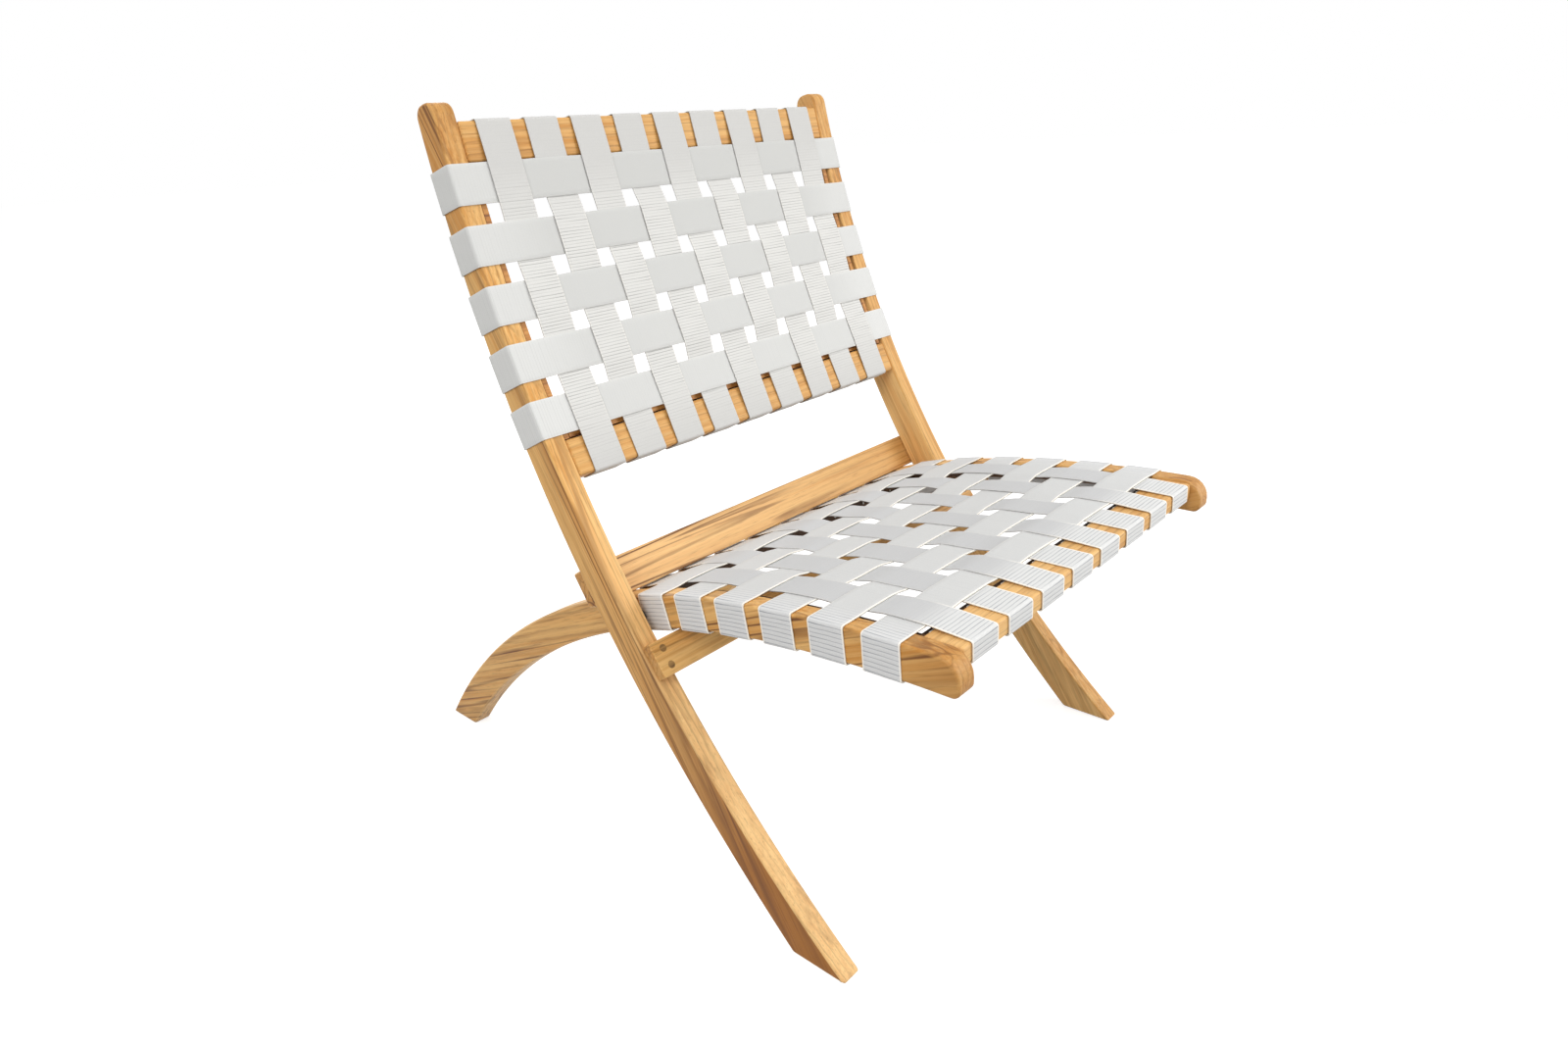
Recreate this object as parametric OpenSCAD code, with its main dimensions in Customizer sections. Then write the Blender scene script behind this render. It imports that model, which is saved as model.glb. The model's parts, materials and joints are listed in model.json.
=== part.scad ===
// Folding garden chair: two crossing teak frames, each woven with flat webbing.
// Millimetres. +Z is up, the sitter faces -Y, and the chair stands centred on the origin.

/* [Boards] */
// Width over the two stiles
overall_w = 590; // [540:1:680]
// Thickness of the stile and side rail boards, across the chair
board_t = 24; // [20:0.5:30]
// Height of the back rails, seen from the front
back_rail_h = 40; // [30:1:50]
// Thickness of the back rails, front to back
back_rail_t = 24; // [18:0.5:28]
// Length of the seat's front and rear rails along the seat
seat_rail_l = 40; // [30:1:46]
// Thickness of the seat's front and rear rails
seat_rail_t = 18; // [14:0.5:22]

/* [Stiles] */
// Radius of the front edge of a stile
stile_r = 1447; // [1300:1:1700]
// Lean of a stile at the floor, from vertical
stile_lean = 49.4; // [48:0.1:51]
// Length of the front edge, floor to top
stile_len = 952; // [940:1:1010]
// Depth of a stile, front edge to rear edge
stile_depth = 40; // [38:0.5:46]
// Depth of a stile at its top end
stile_top_depth = 32; // [30:0.5:40]
// Length over which a stile tapers to its top end
stile_taper_len = 300; // [150:5:400]
// Extra depth of a stile at the foot
stile_flare = 6; // [0:0.5:12]
// Length of the flared foot
stile_flare_len = 320; // [150:5:380]
// Corner radius of the stile tops
stile_top_r = 13; // [4:0.5:14.5]

/* [Seat side rails and rear legs] */
// Space between a stile and the side rail beside it
side_gap = 11.4; // [9:0.2:18]
// Slope of the side rails at the pivot, falling to the rear
rail_slope = 17.1; // [16:0.1:19]
// Radius of the curve of the rear leg
leg_r = 950; // [900:1:1050]
// Radius of the flatter curve of the seat
seat_r = 1555; // [1300:5:2500]
// Distance from the pivot forward to where the flatter curve starts
seat_bend = 115; // [80:1:150]
// Distance from the pivot forward to the tip of a side rail
rail_reach = 398; // [390:1:440]
// Depth of a side rail at the seat
rail_depth = 35; // [32:0.5:40]
// Depth of the rear leg
leg_depth = 43; // [40:0.5:50]
// Distance from the pivot back to where the leg has its full depth
leg_full = 230; // [150:5:300]
// Radius of the upper corner of the side rail tips
rail_tip_r = 22; // [6:0.5:22]
// Radius of the lower corner of the side rail tips
rail_tip_low_r = 8; // [4:0.5:9]

/* [Pivot] */
// Distance of the pivot along the stile from the floor
pivot_up = 409; // [400:1:425]
// Depth of the pivot behind the front edge of the stile
pivot_in = 20; // [16:0.5:24]
// Depth of the pivot below the top edge of the side rail
pivot_below = 22; // [18:0.5:26]
// Diameter of the pivot pin
pin_d = 8; // [6:0.5:10]
// Running clearance of the pin in its bush, on the radius
pin_clear = 0.05; // [0.02:0.01:0.1]
// Length of the pin inside the stile
pin_in_stile = 18; // [10:0.5:18.5]
// Wall of the bush in the side rail
bush_wall = 2; // [1:0.25:3]
// Length of the bush
bush_l = 20; // [12:0.5:18.5]
// Outer diameter of the spacer between stile and side rail
spacer_d = 14; // [12:0.5:22]

/* [Webbing] */
// Width of the webbing
strap_w = 40; // [30:1:40]
// Thickness of the webbing
strap_t = 1.3; // [1:0.1:2]
// Gap between the outermost straps up the back and the stiles
back_side_gap = 19; // [10:0.5:24]
// Gap between the outermost straps along the seat and the side rails
seat_side_gap = 12.6; // [10:0.2:20]
// Distance from one strap across the back to the next
strap_pitch_s = 60; // [59:0.5:61]
// Gap between webbing and wood
strap_clear = 0.25; // [0.2:0.05:0.5]
// Gap between two straps where they cross
weave_clear = 0.3; // [0.3:0.05:0.6]
// How far the middle of the back's webbing stands forward of the stiles' curve
back_bow = 7; // [0:0.5:9]
// How far the middle of the seat's webbing hangs below the side rails' curve
seat_bow = 8; // [0:0.5:11]
// Length of each strap end pinched under a batten
strap_end = 16; // [10:0.5:17]

/* [Battens] */
// Thickness of the battens that pinch the strap ends
batten_t = 6; // [4:0.5:8]
// Width of the battens of the back
back_batten_w = 18; // [14:0.5:18]
// Width of the battens of the seat
seat_batten_w = 13; // [8:0.5:13]
// Set-back of the battens from the face that the straps cross
batten_set = 4; // [3:0.5:5]
// Diameter of the brads in the battens
brad_d = 1.6; // [1.2:0.1:2]
// Length of the brads
brad_l = 18; // [12:0.5:20]

/* [Crossbars] */
// Height of the front crossbar, along the stile
front_bar_h = 38; // [34:1:44]
// Thickness of the front crossbar
front_bar_t = 14; // [12:0.5:18]
// Height of the rear crossbar, along the stile
rear_bar_h = 42; // [36:1:50]
// Thickness of the rear crossbar
rear_bar_t = 16; // [12:0.5:22]
// Distance of the crossbar ends from the outer face of the stile
bar_end = 2; // [0:0.5:8]
// Gap between a crossbar and the seat frame at rest
stop_clear = 0.5; // [0.4:0.1:1.5]
// Distance between the two screws at each crossbar end
screw_pitch = 18.6; // [14:0.2:20]
// Distance of the screws from the outer face of the stile
screw_inset = 15.5; // [12:0.5:16]
// Diameter of the screw shanks
screw_d = 4; // [3:0.5:5]
// Diameter of the screw heads and of the plugs over them
plug_d = 8; // [6:0.5:9]
// Thickness of the plugs
plug_t = 5; // [3:0.5:6]
// Height of the screw heads
screw_head = 3; // [2:0.5:4]
// Length of the screws, with the head
screw_l = 30; // [24:1:32]

/* [Dowels] */
// Diameter of the rail dowels
dowel_d = 8; // [6:0.5:8]
// Length of the rail dowels
dowel_l = 30; // [24:1:32]
// Distance between the two dowels at each rail end
dowel_pitch = 20; // [14:1:22]

/* [Places along the frames] */
// Top of the back's top rail, below the top of the stiles
top_rail_down = 20; // [18:1:40]
// Number of webbing straps up the back
back_up_straps = 9; // [5:1:9]
// Number of webbing straps across the back
back_cross_straps = 5; // [3:1:5]
// Number of webbing straps along the seat
seat_long_straps = 8; // [4:1:8]
// Number of webbing straps across the seat
seat_cross_straps = 6; // [3:1:6]
// Gap between the first cross strap of the back and the top rail
first_gap = 0.6; // [0.5:0.1:3]
// Gap between the lowest cross strap of the back and the bottom rail
last_gap = 6; // [3:0.5:12]
// Gap between the first cross strap of the seat and the front rail
seat_first_gap = 4.5; // [4:0.5:10]
// Overhang of the side rails past the front rail
tip_past = 12; // [6:0.5:30]
// Gap between the last cross strap of the seat and the rear rail
seat_last_gap = 7.5; // [6:0.5:12]
// Distance from the pivot back to the middle of the rear rail
rear_rail_back = 26; // [24:1:28]
// Drop of the front rail below the side rails' top edges
front_rail_drop = 1.5; // [0:0.5:3]
// Drop of the rear rail below the side rails' top edges
rear_rail_drop = 4; // [3:0.5:6]

/* [Hidden] */
$fn = 48;
half_w = overall_w / 2;
stile_x = half_w - board_t;
rail_x = stile_x - side_gap;
rail_in_x = rail_x - board_t;
fit_gap = 0.05;

// Webbing levels above the wood: a strap is either on the low level or on the high one.
low = strap_clear + strap_t / 2;
high = low + strap_t + weave_clear;
wrap = strap_clear + strap_t;

// A flat strap drops this far below a curved edge of radius r at the strap's own edges.
function sag(r) = strap_w * strap_w / 8 / r;

// Stile curve: s runs up the front edge from the floor, off is the depth behind it.
stile_c = [-stile_r * cos(stile_lean), stile_r * sin(stile_lean)];
function stile_a(s) = s / stile_r * 180 / PI - stile_lean;
function stile_pt(s, off = 0) =
    stile_c + (stile_r + off) * [cos(stile_a(s)), sin(stile_a(s))];
function stile_deep(s) =
    stile_depth + stile_flare * pow(max(0, 1 - s / stile_flare_len), 2)
    - (stile_depth - stile_top_depth) * max(0, 1 - (stile_len - s) / stile_taper_len);

// Seat rail curve: s runs along the top edge from the pivot, to the rear, off is above it.
pivot = stile_pt(pivot_up, pivot_in);
function degs(len, r) = len / r * 180 / PI;
bend_a = rail_slope - degs(seat_bend, leg_r);
leg_c = pivot - (leg_r - pivot_below) * [sin(rail_slope), cos(rail_slope)];
seat_c = leg_c - (seat_r - leg_r) * [sin(bend_a), cos(bend_a)];
function rail_a(s) = s < -seat_bend ? bend_a + degs(s + seat_bend, seat_r) : rail_slope + degs(s, leg_r);
function rail_pt(s, off = 0) =
    s < -seat_bend
    ? seat_c + (seat_r + off) * [sin(rail_a(s)), cos(rail_a(s))]
    : leg_c + (leg_r + off) * [sin(rail_a(s)), cos(rail_a(s))];
function rail_deep(s) =
    rail_depth + (leg_depth - rail_depth) * min(1, max(0, (s + seat_bend) / (seat_bend + leg_full)));

// The same places found from a point: distance along the leg's curve, and height over it.
function leg_s(p) = (atan2(p.x - leg_c.x, p.y - leg_c.y) - rail_slope) / 180 * PI * leg_r;
function leg_over(p) = norm(p - leg_c) - leg_r;

// Places of the back's rails and straps along the stile.
top_rail_s = stile_len - top_rail_down - back_rail_h / 2;
back_top_s = top_rail_s - back_rail_h / 2 - first_gap - strap_w / 2;
function back_s(j) = back_top_s - (j - 1) * strap_pitch_s;
bottom_rail_s = back_s(back_cross_straps) - strap_w / 2 - last_gap - back_rail_h / 2;
back_pitch = 2 * (stile_x - back_side_gap - strap_w / 2) / (back_up_straps - 1);
function up_x(i) = (i - (back_up_straps + 1) / 2) * back_pitch;

// Places of the seat's rails and straps along the side rails.
front_rail_s = -rail_reach + tip_past + seat_rail_l / 2;
rear_rail_s = rear_rail_back;
seat_front_s = front_rail_s + seat_rail_l / 2 + seat_first_gap + strap_w / 2;
seat_rear_s = rear_rail_s - seat_rail_l / 2 - seat_last_gap - strap_w / 2;
seat_cross_pitch = (seat_rear_s - seat_front_s) / (seat_cross_straps - 1);
function seat_s(j) = seat_front_s + (j - 1) * seat_cross_pitch;
seat_long_pitch = 2 * (rail_in_x - seat_side_gap - strap_w / 2) / (seat_long_straps - 1);
function long_x(i) = (i - (seat_long_straps + 1) / 2) * seat_long_pitch;

// The taut webbing cuts across the curve of its frame: most in the middle, not at all at the rails.
function bell(t) = pow(4 * t * (1 - t), 1.5);
back_lo = bottom_rail_s + back_rail_h / 2;
back_hi = top_rail_s - back_rail_h / 2;
function back_off(i, j) =
    back_bow * bell((up_x(i) / stile_x + 1) / 2) * bell((back_s(j) - back_lo) / (back_hi - back_lo));
seat_lo = front_rail_s + seat_rail_l / 2;
seat_hi = rear_rail_s - seat_rail_l / 2;
function seat_off(i, j) =
    seat_bow * bell((long_x(i) / rail_in_x + 1) / 2) * bell((seat_s(j) - seat_lo) / (seat_hi - seat_lo));

// A batten stands off its rail by the strap end that it pinches.
batten_off = strap_t + 2 * strap_clear;

// The front crossbar lies across the hollow of the stiles' front edges, and sits as high as it
// can under the strap that wraps the side rails.
front_bar_seat = front_bar_h * front_bar_h / 8 / stile_r + fit_gap;
front_bar_out = front_bar_seat + front_bar_t;
function under_wrap(s) =
    let (p = stile_pt(s, -front_bar_out))
    -leg_over(p) - rail_deep(leg_s(p) + strap_w) - sag(leg_r) - wrap;
function front_top(lo, hi, n = 24) =
    n == 0 ? lo : let (mid = (lo + hi) / 2)
    under_wrap(mid) > stop_clear ? front_top(mid, hi, n - 1) : front_top(lo, mid, n - 1);
bar_reach = 3 * stile_depth;
front_bar_top = front_top(pivot_up - bar_reach, pivot_up);

// The rear crossbar stands as low as it can behind the stiles, its foot planed to the side rails.
function rear_foot(lo, hi, n = 24) =
    n == 0 ? hi : let (mid = (lo + hi) / 2)
    leg_over(stile_pt(mid, stile_deep(mid))) > stop_clear
    ? rear_foot(lo, mid, n - 1) : rear_foot(mid, hi, n - 1);
rear_bar_foot = rear_foot(pivot_up, pivot_up + bar_reach);
rear_bar_mid = rear_bar_foot + rear_bar_h / 2;

// Outlines in the side plane, as [y, z] points.
steps = 72;
corner_steps = 6;
function span(a, b, n) = [for (k = [0:n]) a + (b - a) * k / n];
function stile_corner(s0, off0, sign) =
    [for (k = [0:corner_steps]) let (a = 90 * (sign > 0 ? k : corner_steps - k) / corner_steps)
        stile_pt(s0 + stile_top_r * sin(a), off0 - sign * stile_top_r * cos(a))];
stile_end = stile_len - stile_top_r;
stile_outline = concat(
    [for (s = span(-90, stile_end - 2, steps)) stile_pt(s)],
    stile_corner(stile_end, stile_top_r, 1),
    stile_corner(stile_end, stile_deep(stile_end) - stile_top_r, -1),
    [for (s = span(stile_end - 2, -90, steps)) stile_pt(s, stile_deep(s))]);
function rail_corner(r, off0, sign) =
    [for (k = [0:corner_steps]) let (a = 90 * (sign > 0 ? corner_steps - k : k) / corner_steps)
        rail_pt(r - rail_reach - r * sin(a), off0 + sign * r * cos(a))];
leg_end = (acos(-leg_c.y / leg_r) - rail_slope) / 180 * PI * leg_r;
rail_outline = concat(
    rail_corner(rail_tip_low_r, rail_tip_low_r - rail_deep(-rail_reach), -1),
    rail_corner(rail_tip_r, -rail_tip_r, 1),
    [for (s = span(rail_tip_r - rail_reach + 2, leg_end + 60, steps)) rail_pt(s)],
    [for (s = span(leg_end + 60, rail_tip_low_r - rail_reach + 2, steps)) rail_pt(s, -rail_deep(s))]);

// The chair is centred front to back over its tips and rear feet.
tip_y = min([for (p = rail_outline) p.x]);
heel_y = leg_c.x + sqrt(leg_r * leg_r - leg_c.y * leg_c.y);
centre_y = (tip_y + heel_y) / 2;

// Placing: a side-plane outline, a spot on the stile and a spot on the seat rail.
module side_board(outline, x0, x1) {
    translate([x0, -centre_y, 0]) rotate([90, 0, 90])
        linear_extrude(x1 - x0) polygon(outline);
}
module on_stile(s, off = 0) {
    p = stile_pt(s, off);
    translate([0, p.x - centre_y, p.y]) rotate([stile_a(s), 0, 0]) children();
}
module on_rail(s, off = 0) {
    p = rail_pt(s, off);
    translate([0, p.x - centre_y, p.y]) rotate([-rail_a(s), 0, 0]) children();
}
module at_pivot() {
    translate([0, pivot.x - centre_y, pivot.y]) children();
}
module rod_x(x0, x1, d) {
    translate([x0, 0, 0]) rotate([0, 90, 0]) cylinder(h = x1 - x0, d = d);
}
module block(lo, hi) {
    translate(lo) cube(hi - lo);
}
module both_sides() {
    children();
    mirror([1, 0, 0]) children();
}
module below_floor() {
    block([-overall_w, -2 * stile_r, -stile_r / 2], [overall_w, 2 * stile_r, 0]);
}

// Fasteners, drawn in the local frame of the piece that holds them.
module dowel_pair(x0, x1, d) {
    for (side = [-1, 1])
        translate([0, 0, side * dowel_pitch / 2]) rod_x(x0, x1, d);
}
dowel_in = dowel_l / 2 - 1;
module back_dowels(extra = 0) {
    for (s = [top_rail_s, bottom_rail_s])
        on_stile(s, back_rail_t / 2) both_sides()
            dowel_pair(stile_x - dowel_l + dowel_in - extra, stile_x + dowel_in + extra, dowel_d + extra);
}
seat_dowels = [[front_rail_s, front_rail_drop], [rear_rail_s, rear_rail_drop]];
module seat_dowels(extra = 0) {
    for (place = seat_dowels)
        on_rail(place[0], -place[1] - seat_rail_t / 2) both_sides()
            rotate([90, 0, 0])
                dowel_pair(rail_in_x - dowel_l + dowel_in - extra, rail_in_x + dowel_in + extra,
                           dowel_d + extra);
}

// Screw, head and plug along +Y, from the outer face of a crossbar at y = 0.
module screw(extra = 0) {
    rotate([-90, 0, 0]) {
        translate([0, 0, plug_t]) cylinder(h = screw_head, d1 = plug_d - 0.4 + extra, d2 = screw_d + extra);
        translate([0, 0, plug_t + screw_head]) cylinder(h = screw_l - screw_head, d = screw_d + extra);
    }
}
module plug(extra = 0) {
    rotate([-90, 0, 0]) cylinder(h = plug_t + extra, d = plug_d + extra);
}
screw_x = half_w - screw_inset;
module front_screw_places() {
    on_stile(front_bar_top - front_bar_h / 2, -front_bar_out)
        for (x = [-screw_x, screw_x], z = [-1, 1]) translate([x, 0, z * screw_pitch / 2]) children();
}
module rear_screw_places() {
    on_stile(rear_bar_mid, stile_deep(rear_bar_mid) + rear_bar_t)
        for (x = [-screw_x, screw_x], z = [-1, 1])
            translate([x, 0, z * screw_pitch / 2]) rotate([0, 0, 180]) children();
}
module screw_hole() {
    screw(2 * fit_gap);
    plug(2 * fit_gap);
}
module screw_holes() {
    front_screw_places() screw_hole();
    rear_screw_places() screw_hole();
}

// Brads stand in the gaps between straps, halfway across each batten.
module brad(extra = 0) {
    translate([0, 0, -brad_l]) cylinder(h = brad_l, d = brad_d + extra, $fn = 24);
    if (extra == 0) cylinder(h = 0.8, d = 2 * brad_d, $fn = 24);
}
batten_face = batten_off + batten_t;
module back_brads(extra = 0) {
    for (j = [1:back_cross_straps - 1])
        on_stile((back_s(j) + back_s(j + 1)) / 2, batten_set + back_batten_w / 2) both_sides()
            translate([stile_x - batten_face, 0, 0]) rotate([0, -90, 0]) brad(extra);
    for (i = [1:back_up_straps - 1], end = [-1, 1])
        on_stile(end < 0 ? bottom_rail_s : top_rail_s, batten_set + back_batten_w / 2)
            translate([(up_x(i) + up_x(i + 1)) / 2, 0, -end * (back_rail_h / 2 + batten_face)])
                rotate([end > 0 ? 180 : 0, 0, 0]) brad(extra);
}
module seat_brads(extra = 0) {
    for (j = [1:seat_cross_straps - 1])
        on_rail((seat_s(j) + seat_s(j + 1)) / 2, -batten_set - seat_batten_w / 2) both_sides()
            translate([rail_in_x - batten_face, 0, 0]) rotate([0, -90, 0]) brad(extra);
    for (i = [1:seat_long_straps - 1], end = [-1, 1])
        on_rail(end < 0 ? front_rail_s : rear_rail_s, seat_batten_mid(end))
            translate([(long_x(i) + long_x(i + 1)) / 2, -end * (seat_rail_l / 2 + batten_face), 0])
                rotate([end > 0 ? 90 : -90, 0, 0]) brad(extra);
}
function rail_drop(end) = end < 0 ? front_rail_drop : rear_rail_drop;
function seat_batten_mid(end) = -rail_drop(end) - (seat_rail_t - seat_batten_w) - seat_batten_w / 2;

// Back frame
module stile() {
    difference() {
        side_board(stile_outline, stile_x, half_w);
        below_floor();
        back_dowels(2 * fit_gap);
        at_pivot() rod_x(0, stile_x + pin_in_stile + fit_gap, pin_d + 2 * fit_gap);
        screw_holes();
        back_brads(2 * fit_gap);
    }
}
module stile_left() color("peru") mirror([1, 0, 0]) stile();
module stile_right() color("peru") stile();

module back_rail(s) {
    difference() {
        on_stile(s)
            block([-stile_x, 0, -back_rail_h / 2], [stile_x, back_rail_t, back_rail_h / 2]);
        back_dowels(2 * fit_gap);
        back_brads(2 * fit_gap);
    }
}
module back_top_rail() color("burlywood") back_rail(top_rail_s);
module back_bottom_rail() color("burlywood") back_rail(bottom_rail_s);

module back_side_batten() {
    low_s = bottom_rail_s + back_rail_h / 2 + 1;
    high_s = top_rail_s - back_rail_h / 2 - 1;
    difference() {
        side_board(concat([for (s = span(low_s, high_s, 24)) stile_pt(s, batten_set)],
                          [for (s = span(high_s, low_s, 24)) stile_pt(s, batten_set + back_batten_w)]),
                   stile_x - batten_face, stile_x - batten_off);
        back_brads(2 * fit_gap);
    }
}
module back_batten_left() color("tan") mirror([1, 0, 0]) back_side_batten();
module back_batten_right() color("tan") back_side_batten();

module back_cross_batten(s, end) {
    inner = back_rail_h / 2 + batten_off;
    x1 = stile_x - batten_face - 1;
    difference() {
        on_stile(s)
            block([-x1, batten_set, min(-end * inner, -end * (inner + batten_t))],
                  [x1, batten_set + back_batten_w, max(-end * inner, -end * (inner + batten_t))]);
        back_brads(2 * fit_gap);
    }
}
module back_batten_top() color("tan") back_cross_batten(top_rail_s, 1);
module back_batten_bottom() color("tan") back_cross_batten(bottom_rail_s, -1);

module front_crossbar() color("burlywood") {
    x1 = half_w - bar_end;
    difference() {
        on_stile(front_bar_top - front_bar_h / 2)
            block([-x1, -front_bar_out, -front_bar_h / 2], [x1, -front_bar_seat, front_bar_h / 2]);
        screw_holes();
    }
}

module rear_crossbar() color("burlywood") {
    x1 = half_w - bar_end;
    foot_s = leg_s(stile_pt(rear_bar_foot, stile_deep(rear_bar_foot)));
    foot_0 = foot_s - 2 * rear_bar_h;
    foot_1 = foot_s + 2 * rear_bar_h;
    foot = [for (s = span(foot_0, foot_1, 16)) rail_pt(s, stop_clear)];
    difference() {
        on_stile(rear_bar_mid, stile_deep(rear_bar_mid))
            block([-x1, 0, -rear_bar_h / 2 - 10], [x1, rear_bar_t, rear_bar_h / 2]);
        side_board(concat(foot, [rail_pt(foot_1, -2 * leg_depth), rail_pt(foot_0, -2 * leg_depth)]),
                   -half_w, half_w);
        screw_holes();
    }
}

module crossbar_screws() color("silver") {
    front_screw_places() screw();
    rear_screw_places() screw();
}
module crossbar_plugs() color("tan") {
    front_screw_places() plug();
    rear_screw_places() plug();
}
module back_rail_dowels() color("wheat") back_dowels();
module back_batten_brads() color("gold") back_brads();

// Pivot: a pin fixed in the stile runs through a spacer into a bush in the side rail.
module pivot_pin() {
    at_pivot() rod_x(rail_x - bush_l + 1, stile_x + pin_in_stile, pin_d);
}
module pivot_pin_left() color("silver") mirror([1, 0, 0]) pivot_pin();
module pivot_pin_right() color("silver") pivot_pin();

module pivot_spacer() {
    at_pivot() difference() {
        rod_x(rail_x + wrap + stop_clear, stile_x, spacer_d);
        rod_x(rail_x, stile_x + 1, pin_d + 2 * fit_gap);
    }
}
module pivot_spacer_left() color("dimgray") mirror([1, 0, 0]) pivot_spacer();
module pivot_spacer_right() color("dimgray") pivot_spacer();

bush_d = pin_d + 2 * pin_clear + 2 * bush_wall;
module pivot_bush() {
    at_pivot() difference() {
        rod_x(rail_x - bush_l, rail_x, bush_d);
        rod_x(rail_x - bush_l - 1, rail_x + 1, pin_d + 2 * pin_clear);
    }
}
module pivot_bush_left() color("goldenrod") mirror([1, 0, 0]) pivot_bush();
module pivot_bush_right() color("goldenrod") pivot_bush();

// Seat frame
module seat_rail() {
    difference() {
        side_board(rail_outline, rail_in_x, rail_x);
        below_floor();
        seat_dowels(2 * fit_gap);
        at_pivot() rod_x(rail_x - bush_l - fit_gap, rail_x + 1, bush_d + 2 * fit_gap);
        seat_brads(2 * fit_gap);
    }
}
module seat_rail_left() color("peru") mirror([1, 0, 0]) seat_rail();
module seat_rail_right() color("peru") seat_rail();

module seat_cross_rail(s, drop) {
    difference() {
        on_rail(s)
            block([-rail_in_x, -seat_rail_l / 2, -drop - seat_rail_t],
                  [rail_in_x, seat_rail_l / 2, -drop]);
        seat_dowels(2 * fit_gap);
        seat_brads(2 * fit_gap);
    }
}
module seat_front_rail() color("burlywood") seat_cross_rail(front_rail_s, front_rail_drop);
module seat_rear_rail() color("burlywood") seat_cross_rail(rear_rail_s, rear_rail_drop);

module seat_side_batten() {
    low_s = front_rail_s + seat_rail_l / 2 + 1;
    high_s = rear_rail_s - seat_rail_l / 2 - 1;
    difference() {
        side_board(concat([for (s = span(low_s, high_s, 24)) rail_pt(s, -batten_set)],
                          [for (s = span(high_s, low_s, 24)) rail_pt(s, -batten_set - seat_batten_w)]),
                   rail_in_x - batten_face, rail_in_x - batten_off);
        seat_brads(2 * fit_gap);
    }
}
module seat_batten_left() color("tan") mirror([1, 0, 0]) seat_side_batten();
module seat_batten_right() color("tan") seat_side_batten();

module seat_cross_batten(s, end) {
    inner = seat_rail_l / 2 + batten_off;
    x1 = rail_in_x - batten_face - 1;
    z0 = seat_batten_mid(end) - seat_batten_w / 2;
    difference() {
        on_rail(s)
            block([-x1, min(-end * inner, -end * (inner + batten_t)), z0],
                  [x1, max(-end * inner, -end * (inner + batten_t)), z0 + seat_batten_w]);
        seat_brads(2 * fit_gap);
    }
}
module seat_batten_front() color("tan") seat_cross_batten(front_rail_s, -1);
module seat_batten_rear() color("tan") seat_cross_batten(rear_rail_s, 1);
module seat_rail_dowels() color("wheat") seat_dowels();
module seat_batten_brads() color("gold") seat_brads();

// Webbing: a band of even thickness along a path of its middle line.
function unit(v) = v / norm(v);
function side_of(a, b) = let (d = unit(b - a)) [-d.y, d.x];
function mitred(p, i, h) =
    let (last = len(p) - 1,
         before = side_of(p[max(i - 1, 0)], p[max(i, 1)]),
         after = side_of(p[min(i, last - 1)], p[min(i + 1, last)]),
         m = before + after)
    p[i] + m * 2 * h / (m * m);
function band(p) =
    let (last = len(p) - 1)
    concat([for (i = [0:last]) mitred(p, i, strap_t / 2)],
           [for (i = [last:-1:0]) mitred(p, i, -strap_t / 2)]);
function over(i, j) = (i + j) % 2 == 0;

// Up the back: round the bottom rail, through the cross straps and round the top rail.
function stile_local(s, y, z) =
    let (a = stile_a(s)) stile_pt(s) + y * [cos(a), sin(a)] + z * [-sin(a), cos(a)];
function up_path(i) =
    let (h = back_rail_h / 2 + low, d = back_rail_t + low, tail = back_rail_t - strap_end)
    concat(
        [for (p = [[tail, h], [d, h], [d, -h], [-low, -h]]) stile_local(bottom_rail_s, p.x, p.y)],
        [for (j = [back_cross_straps:-1:1], end = [-1, 1])
            stile_pt(back_s(j) + end * strap_w / 2, -back_off(i, j) - (over(i, j) ? high : low))],
        [for (p = [[-low, h], [d, h], [d, -h], [tail, -h]]) stile_local(top_rail_s, p.x, p.y)]);
module back_strap_up(i) color("whitesmoke") {
    side_board(band(up_path(i)), up_x(i) - strap_w / 2, up_x(i) + strap_w / 2);
}

// Across the back: round one stile, through the upright straps and round the other.
function across_half(x_out, x_in, deep) =
    [[-x_in + low, deep - strap_end], [-x_in + low, deep + low], [-x_out - low, deep + low],
     [-x_out - low, -low], [-x_in, -low]];
function turned(p) = [for (i = [len(p) - 1:-1:0]) [-p[i].x, p[i].y]];
function back_across_path(j) =
    let (left = across_half(half_w, stile_x, stile_deep(back_s(j) - strap_w / 2)))
    concat(left,
           [for (i = [1:back_up_straps], end = [-1, 1])
               [up_x(i) + end * strap_w / 2, -back_off(i, j) - (over(i, j) ? low : high)]],
           turned(left));
module back_strap_across(j) color("gainsboro") {
    on_stile(back_s(j)) translate([0, 0, -strap_w / 2])
        linear_extrude(strap_w) polygon(band(back_across_path(j)));
}

// Along the seat: round the front rail, through the cross straps and round the rear rail.
function rail_local(s, y, z) =
    let (a = rail_a(s)) rail_pt(s) + y * [cos(a), -sin(a)] + z * [sin(a), cos(a)];
function round_rail(end) =
    let (y = seat_rail_l / 2 + low, top = -rail_drop(end), s = end < 0 ? front_rail_s : rear_rail_s)
    [for (p = [[-end * y, top - seat_rail_t + strap_end], [-end * y, top - seat_rail_t - low],
               [end * y, top - seat_rail_t - low], [end * y, top + low]])
        rail_local(s, p.x, p.y)];
function reversed(p) = [for (i = [len(p) - 1:-1:0]) p[i]];
function long_path(i) =
    concat(round_rail(-1),
           [for (j = [1:seat_cross_straps], end = [-1, 1])
               rail_pt(seat_s(j) + end * strap_w / 2, (over(i, j) ? high : low) - seat_off(i, j))],
           reversed(round_rail(1)));
module seat_strap_long(i) color("whitesmoke") {
    side_board(band(long_path(i)), long_x(i) - strap_w / 2, long_x(i) + strap_w / 2);
}

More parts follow.
